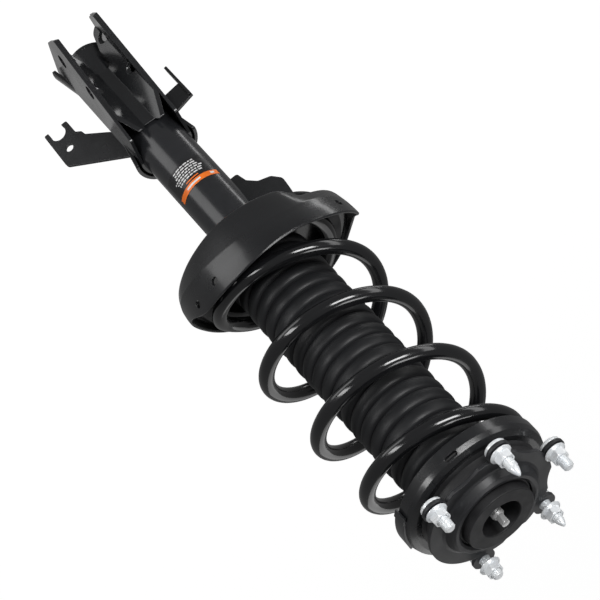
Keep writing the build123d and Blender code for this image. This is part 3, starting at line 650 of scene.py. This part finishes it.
def b_spline(points, samples):
    """Points along a clamped cubic B-spline with these control points."""
    points = np.array([points[0]] * 2 + list(points) + [points[-1]] * 2)
    spans = len(points) - 3
    curve = []
    for k in range(samples):
        position = min(k / (samples - 1) * spans, spans - 1e-6)
        i = int(position)
        u = position - i
        blend = [(1 - u) ** 3, 3 * u**3 - 6 * u**2 + 4, -3 * u**3 + 3 * u**2 + 3 * u + 1, u**3]
        curve.append(np.array(blend) / 6 @ points[i:i + 4])
    return np.array(curve)


def perch_section(bearing, corner, rim, crease, top, rise):
    """(radius, height) control points of the outer face at one bearing, from the collar to the rim."""
    x_share = math.cos(math.radians(bearing))

    def floor_at(radius):
        return PERCH_FLOOR - PERCH_TILT * radius * x_share

    edge = floor_at(corner) + rise
    crease = max(crease, edge + 2.0)
    top = max(top, crease + 2.0)
    skirt = corner + (rim - corner) * 0.75
    flat = [(radius, floor_at(radius)) for radius in (COLLAR_RADIUS, 40, 58)]
    return flat + [
        (corner - 13, floor_at(corner - 13) + rise * 0.7), (corner - 5, edge - 0.5), (corner - 1, edge),
        (corner, edge + 1.0),
        (skirt * 0.6 + corner * 0.4, edge * 0.4 + crease * 0.6), (skirt, crease), (skirt, crease),
        (skirt * 0.6 + rim * 0.4, crease * 0.75 + top * 0.25), (rim, crease * 0.4 + top * 0.6), (rim, top)]


def add_perch():
    """Pressed lower spring seat: tilted floor, skirt on the camera's side, low lip behind, drain holes."""
    columns, samples = 288, 72
    bearings = np.arange(columns) * 360.0 / columns - 180.0
    measures = (CORNER_RADII, RIM_RADII, CREASE_HEIGHTS, RIM_HEIGHTS)
    rounds = [right_round(knots, bearings) for knots in measures]
    rounds.append(right_round(POCKET_RISE, bearings, 2.0))
    outside = np.array([b_spline(perch_section(*values), samples) for values in zip(bearings, *rounds)])
    along = np.gradient(outside, axis=1)
    along /= np.linalg.norm(along, axis=2)[:, :, None]
    mitre = np.abs(along).max(axis=2)
    inside = outside + PERCH_SHEET * np.stack([-along[:, :, 1] / mitre, along[:, :, 0] / mitre], axis=2)
    lip = outside[:, -1] * 0.5 + inside[:, -1] * 0.5 + along[:, -1] * 0.9
    rows = np.concatenate([outside, lip[:, None], inside[:, ::-1]], axis=1).transpose(1, 0, 2)
    turns = np.radians(bearings)
    rings = np.stack([rows[:, :, 0] * np.cos(turns), rows[:, :, 0] * np.sin(turns), rows[:, :, 1]], axis=2)
    faces = grid_faces(len(rings), columns, closed_rows=True)
    piece = add_mesh("pressed_perch", (rings * MM).reshape(-1, 3), faces, "ecoat_gloss", "strut_body", 50)
    drill(piece, DRAIN_HOLES, DRAIN_HOLE_RADIUS)
    piece.data.shade_smooth()
    piece.data.set_sharp_from_angle(angle=math.radians(50))
    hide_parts("lower_spring_perch")


def apply_modifiers(piece):
    """Fix the piece's modifiers into its mesh."""
    shaped = bpy.data.meshes.new_from_object(piece.evaluated_get(bpy.context.evaluated_depsgraph_get()))
    piece.modifiers.clear()
    piece.data = shaped


def face_outward(mesh):
    """Turn every face of a closed mesh outward."""
    shape = bmesh.new()
    shape.from_mesh(mesh)
    bmesh.ops.recalc_face_normals(shape, faces=shape.faces)
    shape.to_mesh(mesh)
    shape.free()


def drill(piece, holes, radius):
    """Cut radial round holes, in mm, through the outer wall at (bearing in degrees, height) places."""
    start, depth = 60, 50
    cutters = []
    vertices, faces = lathe([(radius, 0), (radius, depth)], 32)
    for bearing, height in holes:
        outward = Vector((math.cos(math.radians(bearing)), math.sin(math.radians(bearing)), 0))
        turn = outward.to_track_quat("Z", "Y").to_matrix()
        place = outward * start * MM + Vector((0, 0, height * MM))
        cutters.append(([turn @ Vector(v) + place for v in vertices], faces))
    mesh = bpy.data.meshes.new("drill")
    vertices, faces = merged(*cutters)
    mesh.from_pydata([tuple(v) for v in vertices], [], faces)
    face_outward(mesh)
    face_outward(piece.data)
    cutter = bpy.data.objects.new("drill", mesh)
    bpy.context.scene.collection.objects.link(cutter)
    cut = piece.modifiers.new("holes", "BOOLEAN")
    cut.operation = "DIFFERENCE"
    cut.solver = "EXACT"
    cut.object = cutter
    apply_modifiers(piece)
    bpy.data.objects.remove(cutter)


# ---------------------------------------------------------------- making
materials = make_materials()
add_camera()
add_stage()
add_lights()
for part in frame["record"]["subparts"]:
    mesh_object = nodes[part["node"]]
    mesh_object.data.materials.clear()
    mesh_object.data.materials.append(materials[part["material_slot"]])
add_studs()
add_nuts()
add_rod()
add_spring()
add_boot()
add_label()
add_perch()
